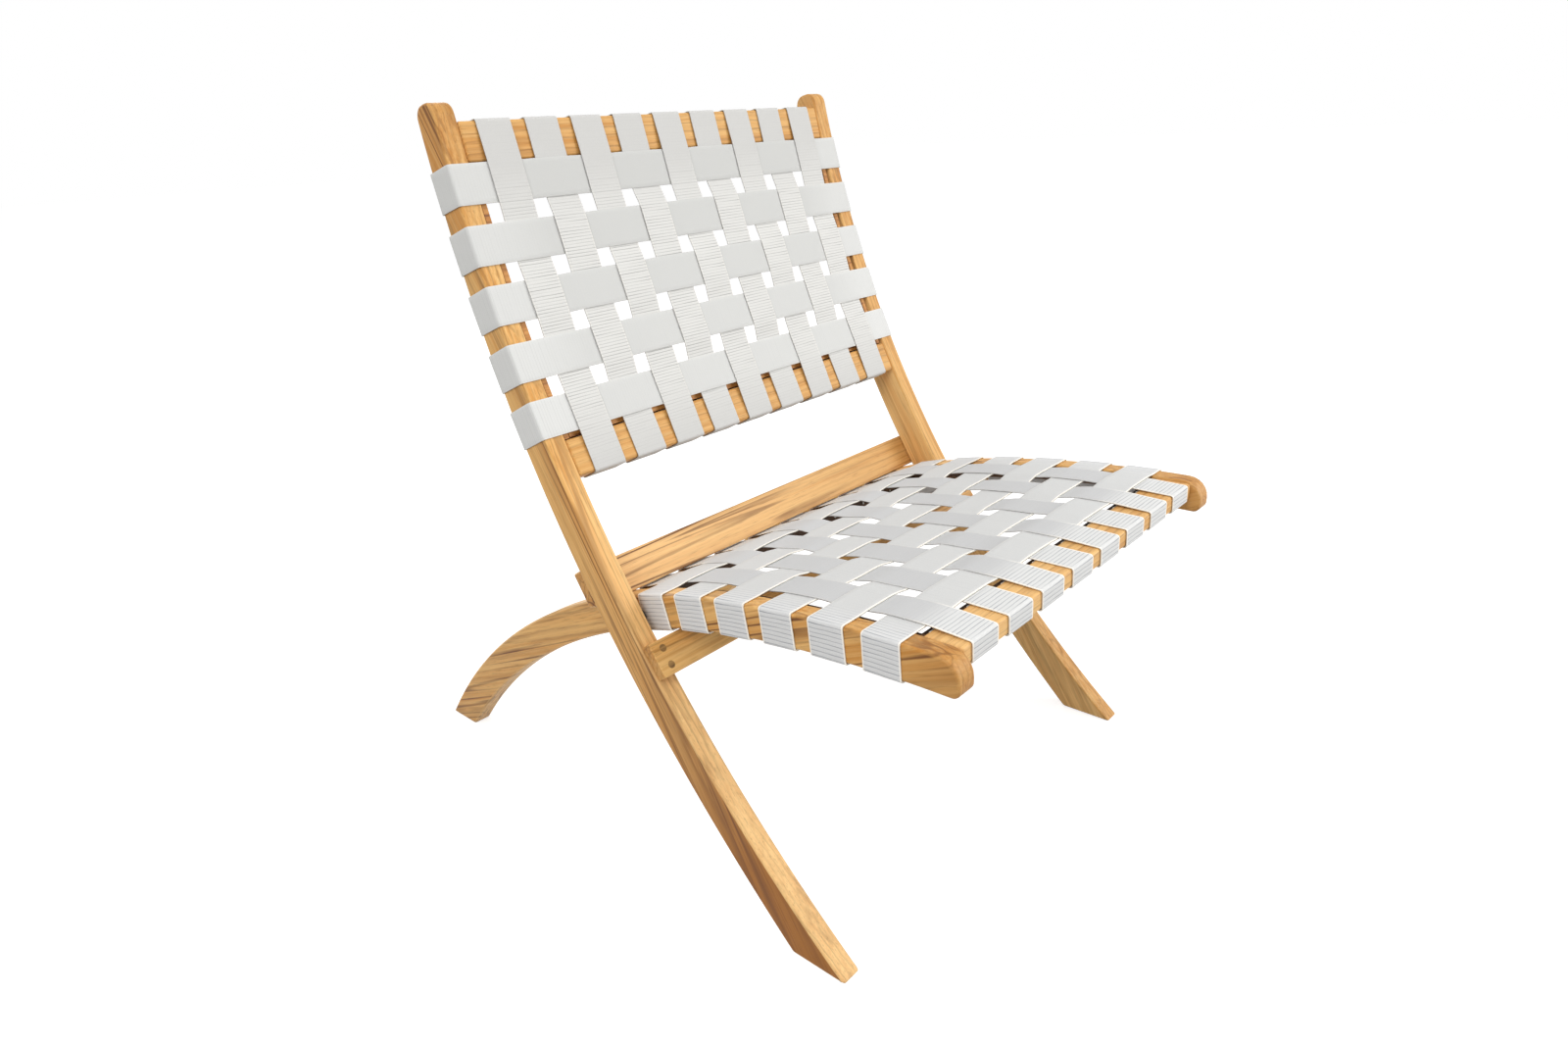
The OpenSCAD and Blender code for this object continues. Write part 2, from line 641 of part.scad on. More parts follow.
// Across the seat: round one side rail, through the long straps and round the other.
function seat_half(j) =
    let (deep = sag(leg_r) + max([for (end = [-1, 1]) rail_deep(seat_s(j) + end * strap_w / 2)]))
    [[-rail_in_x + low, -deep + strap_end], [-rail_in_x + low, -deep - low],
     [-rail_x - low, -deep - low], [-rail_x - low, low], [-rail_in_x, low]];
function seat_across_path(j) =
    concat(seat_half(j),
           [for (i = [1:seat_long_straps], end = [-1, 1])
               [long_x(i) + end * strap_w / 2, (over(i, j) ? low : high) - seat_off(i, j)]],
           turned(seat_half(j)));
module seat_strap_across(j) color("gainsboro") {
    difference() {
        on_rail(seat_s(j)) translate([0, strap_w / 2, 0]) rotate([90, 0, 0])
            linear_extrude(strap_w) polygon(band(seat_across_path(j)));
        at_pivot() both_sides() rod_x(rail_x - 1, stile_x, pin_d + 1);
    }
}

stile_left();
stile_right();
back_top_rail();
back_bottom_rail();
back_batten_left();
back_batten_right();
back_batten_top();
back_batten_bottom();
front_crossbar();
rear_crossbar();
crossbar_screws();
crossbar_plugs();
back_rail_dowels();
back_batten_brads();
pivot_pin_left();
pivot_pin_right();
pivot_spacer_left();
pivot_spacer_right();
seat_rail_left();
seat_rail_right();
seat_front_rail();
seat_rear_rail();
seat_batten_left();
seat_batten_right();
seat_batten_front();
seat_batten_rear();
pivot_bush_left();
pivot_bush_right();
seat_rail_dowels();
seat_batten_brads();
for (i = [1:back_up_straps])
    back_strap_up(i);
for (j = [1:back_cross_straps])
    back_strap_across(j);
for (i = [1:seat_long_straps])
    seat_strap_long(i);
for (j = [1:seat_cross_straps])
    seat_strap_across(j);
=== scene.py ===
"""Folding garden chair: two teak frames that cross and turn on side pivots, woven with flat white webbing."""

import json
import math

import bmesh
import bpy
from mathutils import Matrix, Vector


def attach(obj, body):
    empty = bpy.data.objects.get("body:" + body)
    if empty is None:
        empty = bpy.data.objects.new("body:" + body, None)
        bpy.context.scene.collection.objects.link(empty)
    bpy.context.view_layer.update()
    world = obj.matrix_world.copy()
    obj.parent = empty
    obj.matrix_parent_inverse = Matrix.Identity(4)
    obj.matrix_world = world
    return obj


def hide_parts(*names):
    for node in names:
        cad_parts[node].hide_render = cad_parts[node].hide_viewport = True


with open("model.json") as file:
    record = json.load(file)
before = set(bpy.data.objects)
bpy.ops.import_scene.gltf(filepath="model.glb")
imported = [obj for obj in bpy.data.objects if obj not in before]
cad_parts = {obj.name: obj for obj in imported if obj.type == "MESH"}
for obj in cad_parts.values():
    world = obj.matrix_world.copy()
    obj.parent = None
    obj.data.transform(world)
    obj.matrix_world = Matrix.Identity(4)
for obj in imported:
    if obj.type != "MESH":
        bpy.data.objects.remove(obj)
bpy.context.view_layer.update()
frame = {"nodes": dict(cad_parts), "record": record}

# Sizes in millimetres and degrees, as the frames were cut. Names end in _X for a place across the chair, in _S for
# one along a curve, and in _W, _H, _T and _R for a width, height, thickness and radius.
OVERALL_W, BOARD_T, SIDE_GAP, BAR_INSET = 590, 24, 11.4, 2
HALF_W = OVERALL_W / 2
STILE_X = HALF_W - BOARD_T
RAIL_X = STILE_X - SIDE_GAP
RAIL_IN_X = RAIL_X - BOARD_T
# The side plane's origin is at the stiles' front foot. The chair's middle lies this far behind it.
CENTRE_Y = 327.634

# Stiles: the curve; the depth, with what the foot has more and the top less, and over what length; the top corners'
# radius; and the slope of the plank they are sawn from.
STILE_R, STILE_LEAN, STILE_LEN = 1447, 49.4, 952
STILE_DEPTH, FOOT_MORE, FOOT_LEN, TOP_LESS, TOP_LEN = 40, 6, 320, 8, 300
TOP_R, STILE_PLANK = 13, 59.5
# Side rails: the curves of leg and seat, and how far the tip reaches; the depth, with what the leg has more; the
# tip's radii; and the slope of the plank.
LEG_R, SEAT_R, SEAT_BEND, RAIL_REACH, RAIL_SLOPE = 950, 1555, 115, 398, 17.1
RAIL_DEPTH, LEG_MORE, LEG_LEN = 35, 8, 230
TIP_TOP_R, TIP_UNDER_R, RAIL_PLANK = 22, 8, -23
# The pivot: its place up the stile, its depth behind the front edge, and its depth under the side rail's edge.
PIVOT_S, PIVOT_IN, PIVOT_UNDER = 409, 20, 22

# Webbing: its width and thickness, its play on the wood and at a crossing, and how much lies under the strips. LOW
# and HIGH are its middle's heights where it passes under and over another strap.
STRAP_W, STRAP_T, STRAP_CLEAR, WEAVE_CLEAR, STRAP_END = 40, 1.3, 0.25, 0.3, 16
LOW = STRAP_CLEAR + STRAP_T / 2
HIGH = LOW + STRAP_T + WEAVE_CLEAR
PITCH_X, PITCH_S = 58, 60
BACK_TOP_S, SEAT_FRONT_S = 871.4, -321.5
# How many straps there are, how far the weave hangs through, and the hole for the pivot's spacer.
BACK_UP, BACK_ACROSS, SEAT_LONG, SEAT_ACROSS = 9, 5, 8, 6
BACK_BOW, SEAT_BOW = 7, 8
SPACER_HOLE_R = 4.6
# A strap's corners are cut this short where it turns round a board's edge, and where it bends over another strap. It
# is drawn in steps of at most STRAP_STEP.
EDGE_CUT, WEAVE_CUT, STRAP_STEP = 3.0, 9.0, 8

# Rails and crossbars. RAIL_DROP is how far the seat's rails lie under the curve, front (-1) and rear (1).
BACK_RAIL_H, BACK_RAIL_T = 40, 24
SEAT_RAIL_L, SEAT_RAIL_T = 40, 18
TOP_RAIL_S, BOTTOM_RAIL_S = 912, 585.4
FRONT_RAIL_S, REAR_RAIL_S = -366, 26
RAIL_DROP = {-1: 1.5, 1: 4}
FRONT_BAR_TOP, FRONT_BAR_H, FRONT_BAR_T = 379.191, 38, 14
REAR_BAR_FOOT, REAR_BAR_H, REAR_BAR_T = 436.946, 42, 16
BAR_HALF = HALF_W - BAR_INSET
# The front crossbar's play on the stiles, the rear one's to the legs, and how much too high the rear one is sawn.
FRONT_BAR_CLEAR, REAR_BAR_CLEAR, REAR_BAR_SPARE = 0.05, 0.5, 10

# How far the edges are eased by sanding.
STILE_EASE, RAIL_EASE, CROSS_EASE, BAR_EASE, FOOT_EASE = 2.6, 2.8, 3, 2, 2.4
# Curved boards are drawn in this many steps, which keep this far off the rounded top and tip. Stiles and legs are
# drawn to this far under the floor, and cut level at it.
CURVE_STEPS, OFF_TOP, OFF_TIP, STILE_UNDER, LEG_UNDER = 76, 4, 2, 90, 60


def spread(a, b, count):
    """The places from a to b, both ends too, when the way is cut into count even steps."""
    return [a + (b - a) * k / count for k in range(count + 1)]


def rise(value, start, end):
    """0 at start, 1 at end, and level beyond them."""
    return min(1, max(0, (value - start) / (end - start)))


def bell(t):
    """A swell that is 0 where t is 0 or 1, and 1 halfway."""
    return max(0, 4 * t * (1 - t)) ** 1.5


# The stile's curve: s runs up the front edge from the floor, off is the depth behind it.
def stile_angle(s):
    return s / STILE_R - math.radians(STILE_LEAN)


LEAN = math.radians(STILE_LEAN)
STILE_C = Vector((-STILE_R * math.cos(LEAN), STILE_R * math.sin(LEAN)))


def on_stile(s, off=0.0):
    a = stile_angle(s)
    return STILE_C + (STILE_R + off) * Vector((math.cos(a), math.sin(a)))


def stile_depth(s):
    return STILE_DEPTH + FOOT_MORE * max(0, 1 - s / FOOT_LEN) ** 2 - TOP_LESS * max(0, 1 - (STILE_LEN - s) / TOP_LEN)


# The side rail's curve: s runs rearwards along the top edge from the pivot, off is the height over it.
PIVOT = on_stile(PIVOT_S, PIVOT_IN)
SLOPE = math.radians(RAIL_SLOPE)
LEG_C = PIVOT - (LEG_R - PIVOT_UNDER) * Vector((math.sin(SLOPE), math.cos(SLOPE)))
BEND_A = SLOPE - SEAT_BEND / LEG_R
SEAT_C = LEG_C - (SEAT_R - LEG_R) * Vector((math.sin(BEND_A), math.cos(BEND_A)))


def rail_angle(s):
    return BEND_A + (s + SEAT_BEND) / SEAT_R if s < -SEAT_BEND else SLOPE + s / LEG_R


def on_rail(s, off=0.0):
    a = rail_angle(s)
    way = Vector((math.sin(a), math.cos(a)))
    return SEAT_C + (SEAT_R + off) * way if s < -SEAT_BEND else LEG_C + (LEG_R + off) * way


def rail_depth(s):
    return RAIL_DEPTH + LEG_MORE * rise(s, -SEAT_BEND, LEG_LEN)


# Where things stand: a flat frame on the stile's edge or on the rail's.
def stile_frame(s, off=0.0):
    p = on_stile(s, off)
    return Matrix.Translation((0, p.x - CENTRE_Y, p.y)) @ Matrix.Rotation(stile_angle(s), 4, "X")


def rail_frame(s):
    p = on_rail(s)
    return Matrix.Translation((0, p.x - CENTRE_Y, p.y)) @ Matrix.Rotation(-rail_angle(s), 4, "X")


# Colours are sRGB hex.
def paint(code):
    parts = [int(code[i : i + 2], 16) / 255 for i in (1, 3, 5)]
    return tuple(c / 12.92 if c < 0.04045 else ((c + 0.055) / 1.055) ** 2.4 for c in parts) + (1.0,)


def grey(share):
    return (share, share, share, 1.0)


def node(tree, kind, settings=(), **inputs):
    """Adds a shader node, sets its properties (stops are the places and colours of a colour ramp), and feeds its
    sockets, by name or as i and their number, with values or other sockets."""
    made = tree.nodes.new(kind)
    for key, value in dict(settings).items():
        if key != "stops":
            setattr(made, key, value)
            continue
        marks = made.color_ramp.elements
        while len(marks) < len(value):
            marks.new(0.5)
        for mark, (place, colour) in zip(marks, value):
            mark.position, mark.color = place, colour
    for key, value in inputs.items():
        name = key.replace("_", " ")
        socket = made.inputs[int(name[1:])] if name[0] == "i" and name[1:].isdigit() else made.inputs[name]
        if isinstance(value, bpy.types.NodeSocket):
            tree.links.new(value, socket)
        else:
            socket.default_value = value
    return made


def seen_plainly(tree):
    """1 for rays from the camera, and for what gloss and glass show; 0 for the light that falls on the chair."""
    path = node(tree, "ShaderNodeLightPath").outputs
    most = {"operation": "MAXIMUM"}
    seen = node(tree, "ShaderNodeMath", most, i0=path["Is Camera Ray"], i1=path["Is Glossy Ray"])
    seen = node(tree, "ShaderNodeMath", most, i0=seen.outputs[0], i1=path["Is Transmission Ray"])
    return seen.outputs[0]


def blank(name):
    made = bpy.data.materials.new(name)
    made.use_nodes = True
    tree = made.node_tree
    tree.nodes.clear()
    out = tree.nodes.new("ShaderNodeOutputMaterial")
    return made, tree, out


# Settings that many nodes share.
TIMES, MOST, TINTS = {"operation": "MULTIPLY"}, {"operation": "MAXIMUM"}, {"data_type": "RGBA"}


def oiled_teak(name, light, deep, heart_and_shade, sap_and_highlight, line):
    """Teak sawn, sanded and oiled: honey tones, brown late-wood lines along the board, and short dark pores.
    The pattern reads the board's own grain attribute (along, depth, across, in metres), so it follows its curve."""
    made, tree, out = blank(name)
    grain = node(tree, "ShaderNodeAttribute", {"attribute_name": "grain"}).outputs["Vector"]
    # Growth rings about 7 mm apart, round a pith that lies outside the board.
    trunk = node(tree, "ShaderNodeMapping", Vector=grain, Location=(0, 0.09, 0.05), Scale=(0.1, 1, 1))
    rings = node(
        tree,
        "ShaderNodeTexWave",
        {"wave_type": "RINGS", "rings_direction": "X", "wave_profile": "SAW"},
        Vector=trunk.outputs[0],
        Scale=46.0,
        Distortion=4.2,
        Detail=3.0,
        Detail_Scale=0.9,
        Detail_Roughness=0.62,
    ).outputs["Fac"]
    # Fainter bands where the log grew fast or slowly, some 30 mm wide.
    drift = node(tree, "ShaderNodeMapping", Vector=grain, Scale=(2.2, 34, 34))
    tone = node(tree, "ShaderNodeTexNoise", Vector=drift.outputs[0], Scale=1.0, Detail=4.0, Roughness=0.55)
    # Streaks of fibre some 4 mm wide and 300 mm long, and thin dark lines that come and go along the board.
    streak = node(tree, "ShaderNodeMapping", Vector=grain, Scale=(3.4, 250, 250))
    streaks = node(
        tree, "ShaderNodeTexNoise", Vector=streak.outputs[0], Scale=1.0, Detail=3.0, Roughness=0.6, Distortion=0.4
    )
    vein = node(tree, "ShaderNodeMapping", Vector=grain, Scale=(1.5, 46, 46))
    veins = node(
        tree, "ShaderNodeTexNoise", Vector=vein.outputs[0], Scale=1.0, Detail=2.0, Roughness=0.45, Distortion=0.3
    )
    # Pores: dark dashes some 25 mm long, drawn 1 mm wide so that they show.
    pore = node(tree, "ShaderNodeMapping", Vector=grain, Scale=(36, 900, 900))
    pores = node(tree, "ShaderNodeTexNoise", Vector=pore.outputs[0], Scale=1.0, Detail=2.0, Roughness=0.6)
    mixed = node(
        tree, "ShaderNodeMix", {"data_type": "FLOAT"}, i0=0.55, i2=tone.outputs["Fac"], i3=streaks.outputs["Fac"]
    )
    fibres = ((0.36, paint(deep)), (0.60, paint(light)))
    body = node(tree, "ShaderNodeValToRGB", {"stops": fibres}, Fac=mixed.outputs[0])
    # Each board has its own shares of heartwood, of dark lines and of pale sapwood. The heartwood and sapwood
    # shares also carry painted shade and painted highlight, set by which faces the key light misses or strikes.
    board = node(tree, "ShaderNodeAttribute", {"attribute_name": "board"}).outputs["Vector"]
    own_heart_and_shade, own_lines, own_sap_and_highlight = node(tree, "ShaderNodeSeparateXYZ", Vector=board).outputs
    body = node(tree, "ShaderNodeMix", TINTS, i0=own_heart_and_shade, i6=body.outputs["Color"], i7=paint(heart_and_shade))
    body = node(tree, "ShaderNodeMix", TINTS, i0=own_sap_and_highlight, i6=body.outputs[2], i7=paint(sap_and_highlight))
    # Late wood darkens the outer third of each ring, and more so in the slow bands.
    late = ((0.0, grey(0)), (0.62, grey(0.05)), (0.90, grey(1)), (0.98, grey(0.05)))
    late = node(tree, "ShaderNodeValToRGB", {"stops": late}, Fac=rings)
    patch = ((0.40, grey(0.15)), (0.62, grey(1)))
    patch = node(tree, "ShaderNodeValToRGB", {"stops": patch}, Fac=tone.outputs["Color"])
    late = node(tree, "ShaderNodeMath", TIMES, i0=late.outputs["Color"], i1=patch.outputs["Color"])
    late = node(tree, "ShaderNodeMath", TIMES, i0=late.outputs[0], i1=0.5)
    # Each level of the slow noise draws one dark line, so lines crowd, spread and swell as in sawn teak.
    levels = node(tree, "ShaderNodeMath", TIMES, i0=veins.outputs["Fac"], i1=6.0)
    levels = node(tree, "ShaderNodeMath", {"operation": "PINGPONG"}, i0=levels.outputs[0], i1=0.5)
    thin = ((0.0, grey(1)), (0.10, grey(0.8)), (0.22, grey(0)))
    thin = node(tree, "ShaderNodeValToRGB", {"stops": thin}, Fac=levels.outputs[0])
    gate = node(tree, "ShaderNodeValToRGB", {"stops": ((0.38, grey(1)), (0.58, grey(0.12)))}, Fac=tone.outputs["Fac"])
    thin = node(tree, "ShaderNodeMath", TIMES, i0=thin.outputs["Color"], i1=gate.outputs["Color"])
    thin = node(tree, "ShaderNodeMath", TIMES, i0=thin.outputs[0], i1=own_lines)
    amount = node(tree, "ShaderNodeMath", MOST, i0=late.outputs[0], i1=thin.outputs[0])
    lined = node(tree, "ShaderNodeMix", TINTS, i0=amount.outputs[0], i6=body.outputs[2], i7=paint(line))
    speck = node(tree, "ShaderNodeValToRGB", {"stops": ((0.30, grey(1)), (0.44, grey(0)))}, Fac=pores.outputs["Fac"])
    speck = node(tree, "ShaderNodeMath", TIMES, i0=speck.outputs["Color"], i1=0.3)
    colour = node(tree, "ShaderNodeMix", TINTS, i0=speck.outputs[0], i6=lined.outputs[2], i7=paint(line))
    sheen = node(tree, "ShaderNodeMapRange", Value=tone.outputs["Fac"], To_Min=0.42, To_Max=0.58)
    dent = node(tree, "ShaderNodeBump", Height=pores.outputs["Fac"], Strength=0.25, Distance=0.0004)
    # The oil has soaked in, so the wood shines less than a lacquered board.
    shader = node(
        tree,
        "ShaderNodeBsdfPrincipled",
        Base_Color=colour.outputs[2],
        Roughness=sheen.outputs[0],
        IOR=1.5,
        Specular_IOR_Level=0.25,
        Normal=dent.outputs[0],
    )
    tree.links.new(shader.outputs[0], out.inputs[0])
    return made


def ribbed_webbing(name, cloth, calm, groove, pitch, wave, edge, lit=0.0):
    """Polyester webbing woven flat: off-white, matt, with fine dark lines across it where the weft is beaten up.
    It reads the strap's own map (across, along, in metres) and how strongly the ribs show at each place, which also
    carries painted light: where it is high, the cloth is as bright as cloth, and where it is low, as calm."""
    made, tree, out = blank(name)
    place = node(tree, "ShaderNodeUVMap", {"uv_map": "strap"}).outputs[0]
    strength = node(tree, "ShaderNodeAttribute", {"attribute_name": "ribs"}).outputs["Fac"]
    # The ribs stand pitch mm apart and wander by wave mm, as weft does that was beaten up by eye.
    wander = node(tree, "ShaderNodeMapping", Vector=place, Scale=(45, 70, 1))
    wobble = node(tree, "ShaderNodeTexNoise", Vector=wander.outputs[0], Scale=1.0, Detail=2.0)
    shift = node(tree, "ShaderNodeVectorMath", {"operation": "SCALE"}, i0=wobble.outputs["Color"], Scale=wave / 1000)
    waved = node(tree, "ShaderNodeVectorMath", {"operation": "ADD"}, i0=place, i1=shift.outputs[0])
    rib = node(
        tree,
        "ShaderNodeTexWave",
        {"wave_type": "BANDS", "bands_direction": "Y", "wave_profile": "SIN"},
        Vector=waved.outputs[0],
        Scale=math.tau / 20 / (pitch / 1000),
        Distortion=0.0,
    ).outputs["Fac"]
    # Fine cloth texture: threads about 0.8 mm apart, drawn as a soft grain.
    thread = node(tree, "ShaderNodeMapping", Vector=place, Scale=(900, 1300, 1))
    threads = node(tree, "ShaderNodeTexNoise", Vector=thread.outputs[0], Scale=1.0, Detail=1.0).outputs["Fac"]
    # Some lines are darker than others, each over most of the strap's width.
    broad = node(tree, "ShaderNodeMapping", Vector=place, Scale=(14, 230, 1))
    cloud = node(tree, "ShaderNodeTexNoise", Vector=broad.outputs[0], Scale=1.0, Detail=1.0).outputs["Fac"]
    trough = node(tree, "ShaderNodeValToRGB", {"stops": ((0.0, grey(1)), (0.17, grey(0)))}, Fac=rib)
    uneven = node(tree, "ShaderNodeMapRange", Value=cloud, From_Min=0.35, From_Max=0.65, To_Min=0.3, To_Max=1.0)
    dark = node(tree, "ShaderNodeMath", TIMES, i0=trough.outputs["Color"], i1=strength)
    dark = node(tree, "ShaderNodeMath", TIMES, i0=dark.outputs[0], i1=uneven.outputs[0])
    grain = node(tree, "ShaderNodeMapRange", Value=threads, From_Min=0.3, From_Max=0.7, To_Min=0.0, To_Max=0.14)
    both = node(tree, "ShaderNodeMath", MOST, i0=dark.outputs[0], i1=grain.outputs[0])
    plain = node(tree, "ShaderNodeMix", TINTS, i0=strength, i6=paint(calm), i7=paint(cloth))
    colour = node(tree, "ShaderNodeMix", TINTS, i0=both.outputs[0], i6=plain.outputs[2], i7=paint(groove))
    # The selvedge, 1.3 mm wide, is plain cream thread. It opens with the ribs. On the front edge the same cream
    # always shows by the share lit, as a painted highlight where the key light catches the edge.
    across = node(tree, "ShaderNodeSeparateXYZ", Vector=place).outputs[0]
    out_by = node(tree, "ShaderNodeMath", {"operation": "ABSOLUTE"}, i0=across).outputs[0]
    rim = node(tree, "ShaderNodeMapRange", Value=out_by, From_Min=0.0184, From_Max=0.0189, To_Min=0.0, To_Max=edge)
    front = node(tree, "ShaderNodeMapRange", Value=across, From_Min=-0.0189, From_Max=-0.0184, To_Min=lit, To_Max=0.0)
    opened = node(tree, "ShaderNodeMath", TIMES, i0=rim.outputs[0], i1=strength)
    hem_and_highlight = node(tree, "ShaderNodeMath", MOST, i0=opened.outputs[0], i1=front.outputs[0])
    edged = node(tree, "ShaderNodeMix", TINTS, i0=hem_and_highlight.outputs[0], i6=colour.outputs[2], i7=paint("#FAF5EA"))
    high = node(tree, "ShaderNodeMath", TIMES, i0=rib, i1=strength)
    bump = node(tree, "ShaderNodeBump", Height=high.outputs[0], Strength=0.3, Distance=0.0003)
    fine = node(tree, "ShaderNodeBump", Height=threads, Strength=0.12, Distance=0.0002, Normal=bump.outputs[0])
    shader = node(tree, "ShaderNodeBsdfPrincipled", Base_Color=edged.outputs[2], Roughness=0.82, Normal=fine.outputs[0])
    tree.links.new(shader.outputs[0], out.inputs[0])
    return made


def turned_metal(name, colour, rough):
    """Drawn and turned metal: fine scratches about 0.5 mm apart give it an uneven sheen."""
    made, tree, out = blank(name)
    where = node(tree, "ShaderNodeTexCoord").outputs["Object"]
    marks = node(tree, "ShaderNodeTexNoise", Vector=where, Scale=1800.0, Detail=2.0).outputs["Fac"]
    sheen = node(tree, "ShaderNodeMapRange", Value=marks, To_Min=rough - 0.08, To_Max=rough + 0.1)
    tint = node(tree, "ShaderNodeValToRGB", {"stops": ((0.2, paint(colour)), (0.9, paint("#D8D6D0")))}, Fac=marks)
    shader = node(
        tree, "ShaderNodeBsdfPrincipled", Base_Color=tint.outputs["Color"], Metallic=1.0, Roughness=sheen.outputs[0]
    )
    tree.links.new(shader.outputs[0], out.inputs[0])
    return made


def moulded_nylon(name, colour):
    """Nylon spacers: dark, matt, with a slight mottling from moulding, some 2.5 mm wide."""
    made, tree, out = blank(name)
    where = node(tree, "ShaderNodeTexCoord").outputs["Object"]
    mottle = node(tree, "ShaderNodeTexNoise", Vector=where, Scale=400.0, Detail=3.0).outputs["Fac"]
    tint = node(tree, "ShaderNodeValToRGB", {"stops": ((0.3, paint(colour)), (0.8, paint("#4A4744")))}, Fac=mottle)
    dent = node(tree, "ShaderNodeBump", Height=mottle, Strength=0.1, Distance=0.0002)
    shader = node(
        tree,
        "ShaderNodeBsdfPrincipled",
        Base_Color=tint.outputs["Color"],
        Roughness=0.55,
        IOR=1.53,
        Normal=dent.outputs[0],
    )
    tree.links.new(shader.outputs[0], out.inputs[0])
    return made


def sawn_teak(name, light, deep, line):
    """Plain teak strips, plugs and dowels: the same wood, with fibres some 4 mm wide along the chair's X axis."""
    made, tree, out = blank(name)
    where = node(tree, "ShaderNodeTexCoord").outputs["Object"]
    stretch = node(tree, "ShaderNodeMapping", Vector=where, Scale=(14, 260, 260))
    fibres = node(tree, "ShaderNodeTexNoise", Vector=stretch.outputs[0], Scale=1.0, Detail=4.0, Roughness=0.6)
    fibre = fibres.outputs["Fac"]
    tones = ((0.3, paint(line)), (0.45, paint(deep)), (0.7, paint(light)))
    tint = node(tree, "ShaderNodeValToRGB", {"stops": tones}, Fac=fibre)
    dent = node(tree, "ShaderNodeBump", Height=fibre, Strength=0.2, Distance=0.0003)
    shader = node(
        tree,
        "ShaderNodeBsdfPrincipled",
        Base_Color=tint.outputs["Color"],
        Roughness=0.55,
        IOR=1.5,
        Normal=dent.outputs[0],
    )
    tree.links.new(shader.outputs[0], out.inputs[0])
    return made


TEAK = oiled_teak("oiled teak", light="#EABD78", deep="#CE9248", heart_and_shade="#9E6220", sap_and_highlight="#F4CF9A", line="#5C300A")
TEAK_PLAIN = sawn_teak("sawn teak strip", light="#CF954A", deep="#B2742E", line="#663810")
# The strips under the seat are painted nearly black-brown, as painted shade: they lie in shade under the weave.
TEAK_PAINTED_SHADE = sawn_teak("sawn teak strip, darkened as painted shade", light="#5E3D1E", deep="#44290F", line="#251405")
TEAK_END = sawn_teak("end-grain teak plug", light="#A37B45", deep="#7D5927", line="#38240D")
BACK_WEBBING = ribbed_webbing(
    "fine ribbed polyester webbing", cloth="#D8D7D3", calm="#C3C2BF", groove="#868584", pitch=3.4, wave=0.6, edge=0.2
)
SMOOTH_WEBBING = ribbed_webbing(
    "smooth polyester webbing", cloth="#EDEDEB", calm="#C0C0BD", groove="#ABABA8", pitch=3.4, wave=0.6, edge=0.25
)
SEAT_WEBBING = ribbed_webbing(
    "coarse ribbed polyester webbing", cloth="#DCDCDA", calm="#C1C1C1", groove="#84878E", pitch=4.4, wave=1.7, edge=0.9
)
# The cross straps get a painted highlight along their front edges.
SEAT_CROSS_WEBBING = ribbed_webbing(
    "coarse polyester webbing, cross straps",
    cloth="#DADAD9",
    calm="#CFCFCD",
    groove="#7F828A",
    pitch=4.4,
    wave=1.7,
    edge=0.9,
    lit=0.9,
)
STEEL = turned_metal("drawn steel", "#A9A7A2", 0.34)
BRASS = turned_metal("turned brass", "#B08D4A", 0.36)
NYLON = moulded_nylon("moulded nylon", "#2E2C2A")


def finish_piece(name, bm, body, material, node_name, sheer=False):
    """Turns a bmesh drawn in millimetres into a piece of the chair, which stands for a CAD node. A sheer one, a
    strap, gets its even shading later, after its thickness."""
    bmesh.ops.scale(bm, vec=(0.001,) * 3, verts=bm.verts)
    mesh = bpy.data.meshes.new(name)
    bm.to_mesh(mesh)
    bm.free()
    mesh.materials.append(material)
    mesh.shade_smooth()
    piece = bpy.data.objects.new(name, mesh)
    bpy.context.scene.collection.objects.link(piece)
    if not sheer:
        even = piece.modifiers.new("even shading", "WEIGHTED_NORMAL")
        even.keep_sharp = True
    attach(piece, body)
    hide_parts(node_name)
    return piece


def ease(bm, edges, width, steps):
    """Rounds off edges."""
    bmesh.ops.bevel(
        bm, geom=edges, offset=width, offset_type="OFFSET", segments=steps, profile=0.5, affect="EDGES", material=-1
    )


def saw(bm, point, normal, **options):
    """Cuts off what lies behind a plane, and closes the cut."""
    everything = bm.verts[:] + bm.edges[:] + bm.faces[:]
    bmesh.ops.bisect_plane(bm, geom=everything, plane_co=point, plane_no=normal, clear_inner=True, **options)
    bmesh.ops.holes_fill(bm, edges=[e for e in bm.edges if e.is_boundary])


def store_grain(bm, how, seed, look):
    """Writes where each point lies in its board (along, depth and across, in metres), and the shares of heartwood,
    dark lines and sapwood there, which look gives; the heartwood and sapwood shares also carry painted shade and
    painted highlight. The seed moves the board to its own part of the log."""
    layer = bm.verts.layers.float_vector.new("grain")
    shade = bm.verts.layers.float_vector.new("board")
    for v in bm.verts:
        along, depth, across = how(v.co)
        v[layer] = (along / 1000 + seed * 1.7, depth / 1000 + seed * 0.013, across / 1000 + seed * 0.021)
        v[shade] = look(v.co, along)


